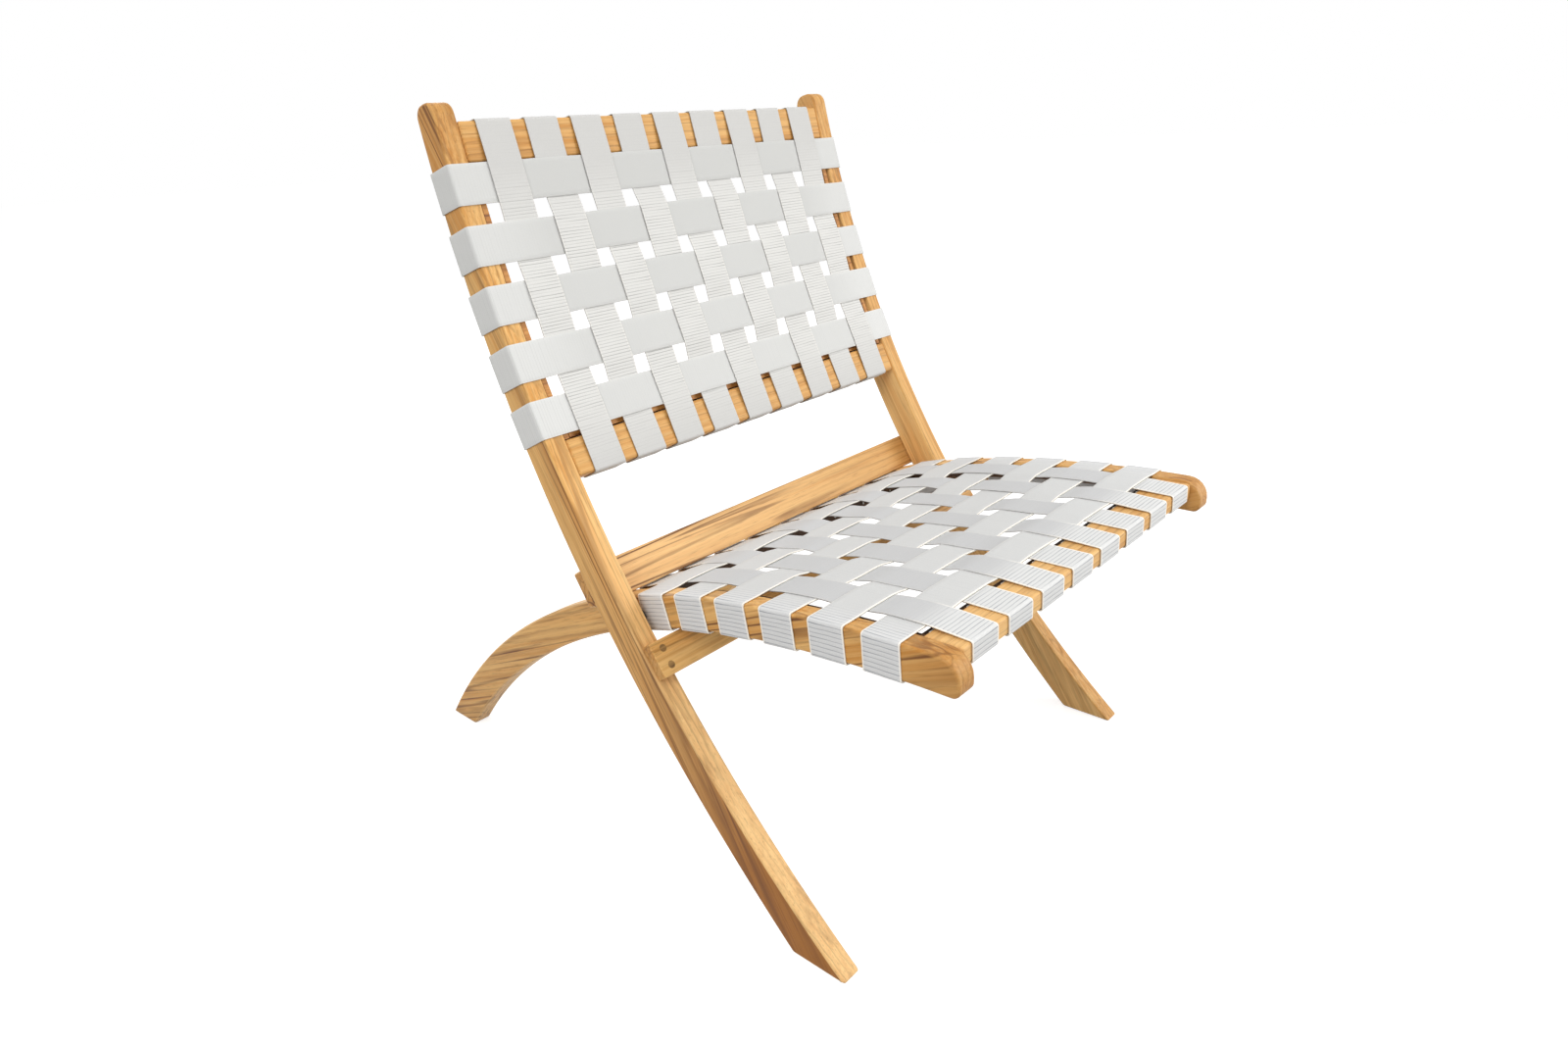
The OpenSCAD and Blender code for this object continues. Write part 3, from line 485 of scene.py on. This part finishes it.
def curved_board(name, body, node_name, sides, rings, edge, along, seed, look):
    """A board that follows the frame's curve. rings are its front and rear points, end to end. look is told whether
    a point lies on a flank, whether that is the outer one, and how far along the plank it lies."""
    bm = bmesh.new()
    bmesh.ops.create_cube(bm, size=1.0)
    lengthwise = [e for e in bm.edges if abs(e.verts[0].co.z - e.verts[1].co.z) > 0.5]
    bmesh.ops.subdivide_edges(bm, edges=lengthwise, cuts=len(rings) - 2, use_grid_fill=True)
    for v in bm.verts:
        front, rear = rings[round((v.co.z + 0.5) * (len(rings) - 1))]
        p = front if v.co.y < 0 else rear
        v.co = (sides[1] if v.co.x > 0 else sides[0], p.x - CENTRE_Y, p.y)
    bmesh.ops.recalc_face_normals(bm, faces=bm.faces)
    bm.normal_update()
    ease(bm, [e for e in bm.edges if sum(abs(f.normal.x) > 0.9 for f in e.link_faces) == 1], edge, 4)
    # The foot is cut level at the floor.
    saw(bm, (0, 0, 0), (0, 0, 1), dist=1e-4)
    ease(bm, [e for e in bm.edges if all(abs(v.co.z) < 1e-3 for v in e.verts)], FOOT_EASE, 3)
    bmesh.ops.recalc_face_normals(bm, faces=bm.faces)
    inner, outer = sorted(abs(side) for side in sides)

    def own_look(p, run):
        flank = min(abs(p.x) - inner, outer - abs(p.x)) < 0.01
        return look(flank, abs(p.x) > outer - 0.01, run)

    store_grain(bm, along, seed, own_look)
    finish_piece(name, bm, body, TEAK, node_name)


def straight_board(name, body, node_name, size, middle, place, edge, seed, heart_and_shade, lined, pale, trim=None):
    """A straight board of size (x, y, z) round a middle point, set into a frame on the curve. heart and lined are its
    shares of heartwood and dark lines; heart also carries painted shade. pale sets how strongly the board is painted
    with sapwood colour towards its left end and darker towards its right: painted light and shade."""
    bm = bmesh.new()
    bmesh.ops.create_cube(bm, size=1.0)
    bmesh.ops.scale(bm, vec=size, verts=bm.verts)
    bmesh.ops.translate(bm, vec=middle, verts=bm.verts)
    if trim:
        saw(bm, *trim)
    ease(bm, bm.edges[:], edge, 3)
    bmesh.ops.recalc_face_normals(bm, faces=bm.faces)
    end = size[0] / 2 - 0.01

    def own_look(p, run):
        """End grain drinks more oil, so the ends are darker. Towards the left end the board gets a painted highlight
        where the left stile shades it, and towards the right end painted shade where the key light falls harder.
        """
        if abs(p.x) > end:
            return max(0.5, heart_and_shade), lined, 0
        return heart_and_shade + 0.6 * pale * (1 + p.x / end), lined, pale * (1 - p.x / end) / 2

    store_grain(bm, lambda p: (p.x, p.y, p.z), seed, own_look)
    bmesh.ops.transform(bm, matrix=place, verts=bm.verts)
    finish_piece(name, bm, body, TEAK, node_name)


def plank(origin, slope):
    """A curved board is sawn from a straight plank, so its grain runs straight on where the board bends away."""
    way = Vector((math.cos(math.radians(slope)), math.sin(math.radians(slope))))

    def place(p):
        flat = Vector((p.y + CENTRE_Y, p.z)) - origin
        return flat.dot(way), way.x * flat.y - way.y * flat.x, abs(p.x)

    return place


# Stiles, with the front legs: the top corners are rounded.
quarter = spread(0, math.pi / 2, 6)
stile_steps = spread(-STILE_UNDER, STILE_LEN - TOP_R - OFF_TOP, CURVE_STEPS)
stile_rings = [(on_stile(s), on_stile(s, stile_depth(s))) for s in stile_steps]
for a in quarter:
    s, inset = STILE_LEN - TOP_R + TOP_R * math.sin(a), TOP_R * (1 - math.cos(a))
    stile_rings.append((on_stile(s, inset), on_stile(s, stile_depth(STILE_LEN - TOP_R) - inset)))


def stile_look(dark, pale):
    """The outer flanks, turned away from the key light, get painted shade that is darkest towards the foot, near
    the floor. All faces darken towards the top, and the inner flanks are painted a little paler. dark and pale are
    the edges' painted shade and painted highlight: the right stile's edges are darkened where the key light falls
    harder, and the left stile's lower edges lightened."""

    def look(flank, outer, run):
        top = rise(run, 750, 900)
        if not flank:
            return max(dark, 0.35 * top), 0.4, pale * rise(run, 600, 300)
        if outer:
            return max(0.15, 0.95 * rise(run, 430, 130)) + 0.3 * top, 0.9, 0
        return 0.3 * top, 0.25, 0.2

    return look


for side, sign, seed, look in (("left", -1, 1, stile_look(0, 0.35)), ("right", 1, 2, stile_look(0.25, 0))):
    curved_board(
        f"{side}_stile",
        "back_frame",
        f"stile_{side}",
        sides=sorted((sign * STILE_X, sign * HALF_W)),
        rings=stile_rings,
        edge=STILE_EASE,
        along=plank(on_stile(0), STILE_PLANK),
        seed=seed,
        look=look,
    )

# Side rails with the rear legs: one board each, rounded at the front tip.
leg_end = (math.acos(-LEG_C.y / LEG_R) - SLOPE) * LEG_R
rail_rings = []
for a in reversed(quarter):
    over_s, over_off = TIP_TOP_R - RAIL_REACH - TIP_TOP_R * math.sin(a), -TIP_TOP_R + TIP_TOP_R * math.cos(a)
    under_s = TIP_UNDER_R - RAIL_REACH - TIP_UNDER_R * math.sin(a)
    under_off = TIP_UNDER_R - rail_depth(-RAIL_REACH) - TIP_UNDER_R * math.cos(a)
    rail_rings.append((on_rail(over_s, over_off), on_rail(under_s, under_off)))
for s in spread(TIP_TOP_R + OFF_TIP - RAIL_REACH, leg_end + LEG_UNDER, CURVE_STEPS):
    rail_rings.append((on_rail(s), on_rail(s, -rail_depth(s))))


def rail_look(flank, outer, run):
    """The tips in front are darker wood than the legs. The flanks get at least some painted shade, and the legs'
    narrow faces, which the key light falls on, a painted highlight of sapwood colour.
    """
    heart_and_shade = 0.05 + 0.8 * rise(run, -220, -480)
    if flank:
        return max(0.15, heart_and_shade), 1.0 if outer else 0.35, 0
    return heart_and_shade, 0.6, 0.3 * rise(run, -100, 0)


for side, sign, seed in (("left", -1, 3), ("right", 1, 4)):
    curved_board(
        f"{side}_side_rail",
        "seat_frame",
        f"seat_rail_{side}",
        sides=sorted((sign * RAIL_IN_X, sign * RAIL_X)),
        rings=rail_rings,
        edge=RAIL_EASE,
        along=plank(PIVOT, RAIL_PLANK),
        seed=seed,
        look=rail_look,
    )

# Rails across the back and the seat. The seat's rear rail is painted darker, as painted shade: it lies in shade
# under the weave.
for name, s, seed in (("top", TOP_RAIL_S, 5), ("bottom", BOTTOM_RAIL_S, 6)):
    straight_board(
        f"{name}_back_rail",
        "back_frame",
        f"back_{name}_rail",
        size=(2 * STILE_X, BACK_RAIL_T, BACK_RAIL_H),
        middle=(0, BACK_RAIL_T / 2, 0),
        place=stile_frame(s),
        edge=CROSS_EASE,
        seed=seed,
        heart_and_shade=0.25,
        lined=0.2,
        pale=0.0,
    )
for name, s, end, seed, heart_and_shade in (("front", FRONT_RAIL_S, -1, 7, 0), ("rear", REAR_RAIL_S, 1, 8, 0.6)):
    straight_board(
        f"{name}_seat_rail",
        "seat_frame",
        f"seat_{name}_rail",
        size=(2 * RAIL_IN_X, SEAT_RAIL_L, SEAT_RAIL_T),
        middle=(0, 0, -RAIL_DROP[end] - SEAT_RAIL_T / 2),
        place=rail_frame(s),
        edge=CROSS_EASE,
        seed=seed,
        heart_and_shade=heart_and_shade,
        lined=0.15,
        pale=0.2,
    )

# Crossbars screwed to the stiles. The front one bears on the stiles' hollow edge at its own two edges, so its middle
# stands off by the hollow's depth. The rear one's lower edge is planed to the slope of the legs.
hollow = FRONT_BAR_H**2 / 8 / STILE_R + FRONT_BAR_CLEAR
straight_board(
    "front_bar",
    "back_frame",
    "front_crossbar",
    size=(2 * BAR_HALF, FRONT_BAR_T, FRONT_BAR_H),
    middle=(0, -hollow - FRONT_BAR_T / 2, 0),
    place=stile_frame(FRONT_BAR_TOP - FRONT_BAR_H / 2),
    edge=BAR_EASE,
    seed=9,
    heart_and_shade=0.15,
    lined=0.5,
    pale=0.0,
)
rear_mid = REAR_BAR_FOOT + REAR_BAR_H / 2
rear_place = stile_frame(rear_mid, stile_depth(rear_mid))
from_legs = on_stile(REAR_BAR_FOOT, stile_depth(REAR_BAR_FOOT) + REAR_BAR_T / 2) - LEG_C
planed = from_legs.normalized()
touch = LEG_C + planed * (LEG_R + REAR_BAR_CLEAR)
into_bar = rear_place.inverted()
straight_board(
    "rear_bar",
    "back_frame",
    "rear_crossbar",
    size=(2 * BAR_HALF, REAR_BAR_T, REAR_BAR_H + REAR_BAR_SPARE),
    middle=(0, REAR_BAR_T / 2, -REAR_BAR_SPARE / 2),
    place=rear_place,
    edge=BAR_EASE,
    seed=10,
    heart_and_shade=0.0,
    lined=1.0,
    pale=0.45,
    trim=(into_bar @ Vector((0, touch.x - CENTRE_Y, touch.y)), into_bar.to_3x3() @ Vector((0, planed.x, planed.y))),
)


# Webbing.
def softened(path):
    """The middle line of a strap, with its corners eased."""
    eased = [path[0]]
    for before, p, after in zip(path, path[1:], path[2:]):
        back, on = before - p, after - p
        cut = EDGE_CUT if abs(back.angle(on)) < math.radians(140) else WEAVE_CUT
        a = p + back.normalized() * min(cut, 0.48 * back.length)
        b = p + on.normalized() * min(cut, 0.48 * on.length)
        for t in spread(0, 1, 5):
            eased.append(a * (1 - t) ** 2 + p * 2 * t * (1 - t) + b * t * t)
    eased.append(path[-1])
    line = [eased[0]]
    for p in eased[1:]:
        gap = (p - line[-1]).length
        if gap < 0.05:
            continue
        steps = math.ceil(gap / STRAP_STEP)
        start = line[-1]
        line += [start.lerp(p, k / steps) for k in range(1, steps + 1)]
    return line


def strap(name, node_name, body, path, place, across, cloth, ribs, hole=None):
    """A length of webbing along path. place puts a path point into the chair, across is the way of its width. ribs
    gives how strongly the ribs show at a run along the strap, out of its whole length. hole is a point on the pivots'
    line, where the strap has a hole for the spacer on each side."""
    line = softened([Vector(p).to_3d() for p in path])
    run = [0.0]
    for p, q in zip(line, line[1:]):
        run.append(run[-1] + (q - p).length)
    bm = bmesh.new()
    bmesh.ops.create_grid(bm, x_segments=len(line) - 1, y_segments=8, size=0.5)
    uv = bm.loops.layers.uv.new("strap")
    rib = bm.verts.layers.float.new("ribs")
    spot = {}
    for v in bm.verts:
        k = round((v.co.x + 0.5) * (len(line) - 1))
        width = v.co.y * STRAP_W
        spot[v] = (width / 1000, run[k] / 1000)
        v[rib] = ribs(run[k], run[-1])
        v.co = place @ line[k] + across * width
    for face in bm.faces:
        for loop in face.loops:
            loop[uv].uv = spot[loop.vert]
    if hole:
        middles = [(face, face.calc_center_median()) for face in bm.faces]
        near = [face for face, p in middles if (p - hole).yz.length < SPACER_HOLE_R and abs(p.x) > RAIL_X]
        bmesh.ops.delete(bm, geom=near, context="FACES")
    piece = finish_piece(name, bm, body, cloth, node_name, sheer=True)
    thick = piece.modifiers.new("thickness", "SOLIDIFY")
    thick.thickness, thick.offset = STRAP_T / 1000, 0
    even = piece.modifiers.new("even shading", "WEIGHTED_NORMAL")
    even.weight = 80


# Straps are numbered from the left, from the top of the back, and from the front of the seat: i counts those that run
# up or along, j those that run across.
def back_s(j):
    return BACK_TOP_S - (j - 1) * PITCH_S


def seat_s(j):
    return SEAT_FRONT_S + (j - 1) * PITCH_S


def up_x(i):
    return (i - (BACK_UP + 1) / 2) * PITCH_X


def long_x(i):
    return (i - (SEAT_LONG + 1) / 2) * PITCH_X


# How far the weave hangs through at one crossing.
def back_bow(i, j):
    low_s, high_s = BOTTOM_RAIL_S + BACK_RAIL_H / 2, TOP_RAIL_S - BACK_RAIL_H / 2
    return BACK_BOW * bell((up_x(i) / STILE_X + 1) / 2) * bell((back_s(j) - low_s) / (high_s - low_s))


def seat_bow(i, j):
    low_s, high_s = FRONT_RAIL_S + SEAT_RAIL_L / 2, REAR_RAIL_S - SEAT_RAIL_L / 2
    return SEAT_BOW * bell((long_x(i) / RAIL_IN_X + 1) / 2) * bell((seat_s(j) - low_s) / (high_s - low_s))


def over(i, j):
    """Whether the strap up the back or along the seat passes over the one across."""
    return (i + j) % 2 == 0


# Side-plane paths run in (y, z); this matrix lays them into the chair.
side_plane = Matrix(((0, 0, 1, 0), (1, 0, 0, -CENTRE_Y), (0, 1, 0, 0), (0, 0, 0, 1)))


def up_path(i):
    h, d, tail = BACK_RAIL_H / 2 + LOW, BACK_RAIL_T + LOW, BACK_RAIL_T - STRAP_END

    def by_rail(s, depth, height):
        a = stile_angle(s)
        return on_stile(s) + depth * Vector((math.cos(a), math.sin(a))) + height * Vector((-math.sin(a), math.cos(a)))

    path = [by_rail(BOTTOM_RAIL_S, *p) for p in ((tail, h), (d, h), (d, -h), (-LOW, -h))]
    for j in range(BACK_ACROSS, 0, -1):
        for end in (-1, 1):
            path.append(on_stile(back_s(j) + end * STRAP_W / 2, -back_bow(i, j) - (HIGH if over(i, j) else LOW)))
    return path + [by_rail(TOP_RAIL_S, *p) for p in ((-LOW, h), (d, h), (d, -h), (tail, -h))]


def across_back_path(j):
    deep = stile_depth(back_s(j) - STRAP_W / 2)
    half = [
        (-STILE_X + LOW, deep - STRAP_END),
        (-STILE_X + LOW, deep + LOW),
        (-HALF_W - LOW, deep + LOW),
        (-HALF_W - LOW, -LOW),
        (-STILE_X, -LOW),
    ]
    middle = [
        (up_x(i) + end * STRAP_W / 2, -back_bow(i, j) - (LOW if over(i, j) else HIGH))
        for i in range(1, BACK_UP + 1)
        for end in (-1, 1)
    ]
    return half + middle + [(-x, y) for x, y in reversed(half)]


def long_path(i):
    def round_rail(end):
        y, top = SEAT_RAIL_L / 2 + LOW, -RAIL_DROP[end]
        s = FRONT_RAIL_S if end < 0 else REAR_RAIL_S
        a = rail_angle(s)
        on, up = Vector((math.cos(a), -math.sin(a))), Vector((math.sin(a), math.cos(a)))
        corners = (
            (-end * y, top - SEAT_RAIL_T + STRAP_END),
            (-end * y, top - SEAT_RAIL_T - LOW),
            (end * y, top - SEAT_RAIL_T - LOW),
            (end * y, top + LOW),
        )
        return [on_rail(s) + p * on + q * up for p, q in corners]

    middle = [
        on_rail(seat_s(j) + end * STRAP_W / 2, (HIGH if over(i, j) else LOW) - seat_bow(i, j))
        for j in range(1, SEAT_ACROSS + 1)
        for end in (-1, 1)
    ]
    return round_rail(-1) + middle + list(reversed(round_rail(1)))


def across_seat_path(j):
    deep = STRAP_W**2 / 8 / LEG_R + max(rail_depth(seat_s(j) + end * STRAP_W / 2) for end in (-1, 1))
    half = [
        (-RAIL_IN_X + LOW, -deep + STRAP_END),
        (-RAIL_IN_X + LOW, -deep - LOW),
        (-RAIL_X - LOW, -deep - LOW),
        (-RAIL_X - LOW, LOW),
        (-RAIL_IN_X, LOW),
    ]
    middle = [
        (long_x(i) + end * STRAP_W / 2, (LOW if over(i, j) else HIGH) - seat_bow(i, j))
        for i in range(1, SEAT_LONG + 1)
        for end in (-1, 1)
    ]
    return half + middle + [(-x, y) for x, y in reversed(half)]


# How strongly the ribs show along a strap, which also sets how bright the cloth is: up the back they open round
# its middle, and on the seat they open only near the boards. Across the back they stay nearly closed, and open a
# little further down and near the stiles, which paints the cloth lighter there as painted light.
def up_ribs(run, whole):
    return 0.95 - 0.8 * rise(abs(run - 0.46 * whole) / whole, 0.16, 0.30)


def back_ribs_and_light(j):
    return lambda run, whole: 0.05 * j + 0.19 * rise(min(run, whole - run), 170, 110)


def seat_ribs(reach):
    return lambda run, whole: 1.0 - 0.84 * rise(min(run, whole - run), reach, reach + 30)


X = Vector((1, 0, 0))
for i in range(1, BACK_UP + 1):
    strap(
        f"webbing_up_{i}",
        f"back_strap_up_{i}",
        "back_frame",
        path=up_path(i),
        place=Matrix.Translation((up_x(i), 0, 0)) @ side_plane,
        across=X,
        cloth=BACK_WEBBING,
        ribs=up_ribs,
    )
for j in range(1, BACK_ACROSS + 1):
    place = stile_frame(back_s(j))
    strap(
        f"webbing_across_back_{j}",
        f"back_strap_across_{j}",
        "back_frame",
        path=[(x, y, 0) for x, y in across_back_path(j)],
        place=place,
        across=place.to_3x3() @ Vector((0, 0, 1)),
        cloth=SMOOTH_WEBBING,
        ribs=back_ribs_and_light(j),
    )
for i in range(1, SEAT_LONG + 1):
    strap(
        f"webbing_along_seat_{i}",
        f"seat_strap_long_{i}",
        "seat_frame",
        path=long_path(i),
        place=Matrix.Translation((long_x(i), 0, 0)) @ side_plane,
        across=X,
        cloth=SEAT_WEBBING,
        ribs=seat_ribs(110),
    )
# The rearmost strap across the seat passes the pivots, and has a hole for the spacer on each side.
for j in range(1, SEAT_ACROSS + 1):
    place = rail_frame(seat_s(j))
    strap(
        f"webbing_across_seat_{j}",
        f"seat_strap_across_{j}",
        "seat_frame",
        path=[(x, 0, z) for x, z in across_seat_path(j)],
        place=place,
        across=place.to_3x3() @ Vector((0, 1, 0)),
        cloth=SEAT_CROSS_WEBBING,
        ribs=seat_ribs(82),
        hole=Vector((0, PIVOT.x - CENTRE_Y, PIVOT.y)) if j == SEAT_ACROSS else None,
    )

# The carried-over pieces get their own finishes. The strips under the seat are painted dark, as painted shade
# seen through the weave.
FINISHES = {"wood": TEAK_PLAIN, "steel": STEEL, "spacer": NYLON, "bush": BRASS, "webbing": SEAT_WEBBING}
OWN_FINISHES = {f"seat_batten_{side}": TEAK_PAINTED_SHADE for side in ("left", "right", "front", "rear")}
OWN_FINISHES["crossbar_plugs"] = TEAK_END
slots = {part["node"]: part["material_slot"] for part in frame["record"]["subparts"]}
for name, part in frame["nodes"].items():
    for place in part.material_slots:
        place.material = OWN_FINISHES.get(name, FINISHES[slots[name]])

# Floor: pale and plain, half a millimetre under the feet. Seen directly it is lit up to white, and it keeps the
# chair's shadow.
sheet = bmesh.new()
bmesh.ops.create_grid(sheet, x_segments=1, y_segments=1, size=30.0)
bmesh.ops.translate(sheet, vec=(0, 0, -0.0005), verts=sheet.verts)
mesh = bpy.data.meshes.new("floor")
sheet.to_mesh(mesh)
sheet.free()
floor = bpy.data.objects.new("floor", mesh)
bpy.context.scene.collection.objects.link(floor)
pale, tree, out = blank("pale floor")
matt = node(tree, "ShaderNodeBsdfDiffuse", Color=grey(0.5))
glow = node(tree, "ShaderNodeEmission", Color=grey(1), Strength=0.73)
lit = node(tree, "ShaderNodeAddShader", i0=matt.outputs[0], i1=glow.outputs[0])
plain = node(tree, "ShaderNodeBsdfDiffuse", Color=(0.5, 0.495, 0.49, 1))
shown = node(tree, "ShaderNodeMixShader", i0=seen_plainly(tree), i1=plain.outputs[0], i2=lit.outputs[0])
tree.links.new(shown.outputs[0], out.inputs[0])
mesh.materials.append(pale)

# Soft studio light: a white room, a large key from the front right, and soft fills from above, left and behind.
# Lamps are square, with their places and sizes in metres.
world = bpy.data.worlds.new("white room")
bpy.context.scene.world = world
world.use_nodes = True
tree = world.node_tree
tree.nodes.clear()
room = node(tree, "ShaderNodeBackground", Color=grey(1), Strength=0.55)
white = node(tree, "ShaderNodeBackground", Color=grey(1), Strength=1.0)
pick = node(tree, "ShaderNodeMixShader", i0=seen_plainly(tree), i1=room.outputs[0], i2=white.outputs[0])
out = tree.nodes.new("ShaderNodeOutputWorld")
tree.links.new(pick.outputs[0], out.inputs[0])


def lamp(name, place, target, size, watts):
    light = bpy.data.lights.new(name, "AREA")
    light.shape, light.size, light.energy = "SQUARE", size, watts
    made = bpy.data.objects.new(name, light)
    bpy.context.scene.collection.objects.link(made)
    away = Vector(place) - Vector(target)
    made.matrix_world = Matrix.Translation(place) @ away.to_track_quat("Z", "Y").to_matrix().to_4x4()


lamp("key", (2.1, -2.4, 1.4), (0, 0, 0.35), 1.7, 60)
lamp("ceiling", (0.2, -0.9, 3.3), (0, 0, 0.4), 2.0, 18)
lamp("fill", (-2.1, -0.8, 2.2), (0, 0, 0.4), 1.6, 36)
lamp("rear fill", (0.9, 3.2, 1.9), (0, 0, 0.4), 2.2, 34)

# The photograph's viewpoint, as fitted: the frame and the lens in its pixels, angles in degrees, the eye in metres
# from the side plane's origin.
PHOTO_W, PHOTO_H, FOCAL, AXIS_X, AXIS_Y = 1600, 1067, 1015.87960836, 805.636361, 534.41370396
EYE = (-0.84136529, -0.46829441, 0.76147099)
FILM = 36
yaw, pitch, roll = (math.radians(a) for a in (47.20106896, 21.64780695, 3.28802621))
ahead = Vector((math.sin(yaw) * math.cos(pitch), math.cos(yaw) * math.cos(pitch), -math.sin(pitch)))
right = Vector((math.cos(yaw), -math.sin(yaw), 0))
down = ahead.cross(right)
tilted = right * math.cos(roll) + down * math.sin(roll)
lower = down * math.cos(roll) - right * math.sin(roll)
lens = bpy.data.cameras.new("camera")
lens.sensor_fit, lens.sensor_width, lens.lens = "HORIZONTAL", FILM, FOCAL * FILM / PHOTO_W
lens.shift_x, lens.shift_y = (PHOTO_W / 2 - AXIS_X) / PHOTO_W, (AXIS_Y - PHOTO_H / 2) / PHOTO_W
lens.clip_start, lens.clip_end = 0.02, 100
camera = bpy.data.objects.new("camera", lens)
bpy.context.scene.collection.objects.link(camera)
spot = Vector((EYE[0], EYE[1] - CENTRE_Y / 1000, EYE[2]))
camera.matrix_world = Matrix.Translation(spot) @ Matrix((tilted, -lower, -ahead)).transposed().to_4x4()
bpy.context.scene.camera = camera
bpy.context.scene.view_settings.view_transform = "Standard"
